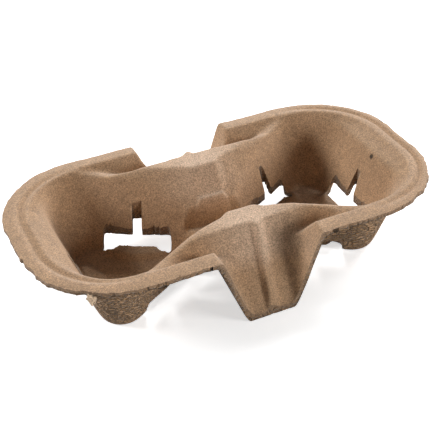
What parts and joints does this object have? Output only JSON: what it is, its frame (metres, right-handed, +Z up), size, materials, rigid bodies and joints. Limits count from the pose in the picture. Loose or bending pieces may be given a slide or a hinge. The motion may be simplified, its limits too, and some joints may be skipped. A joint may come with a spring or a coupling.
{
  "type": "cup carrier",
  "caption": "Moulded pulp carrier tray for two cups: lobed pockets with T-shaped slots, a passage between them, and a sloping leg on each long side.",
  "frame": {"origin": "middle of the tray, on the plane that its feet stand on", "axes": "+Z up out of the pockets, X along the tray from one pocket to the other"},
  "size_m": [0.21, 0.113, 0.04],
  "materials": {
    "pulp": "matt, fibrous"
  },
  "bodies": {
    "root": {"pulp_tray": "pulp"}
  },
  "joints": []
}
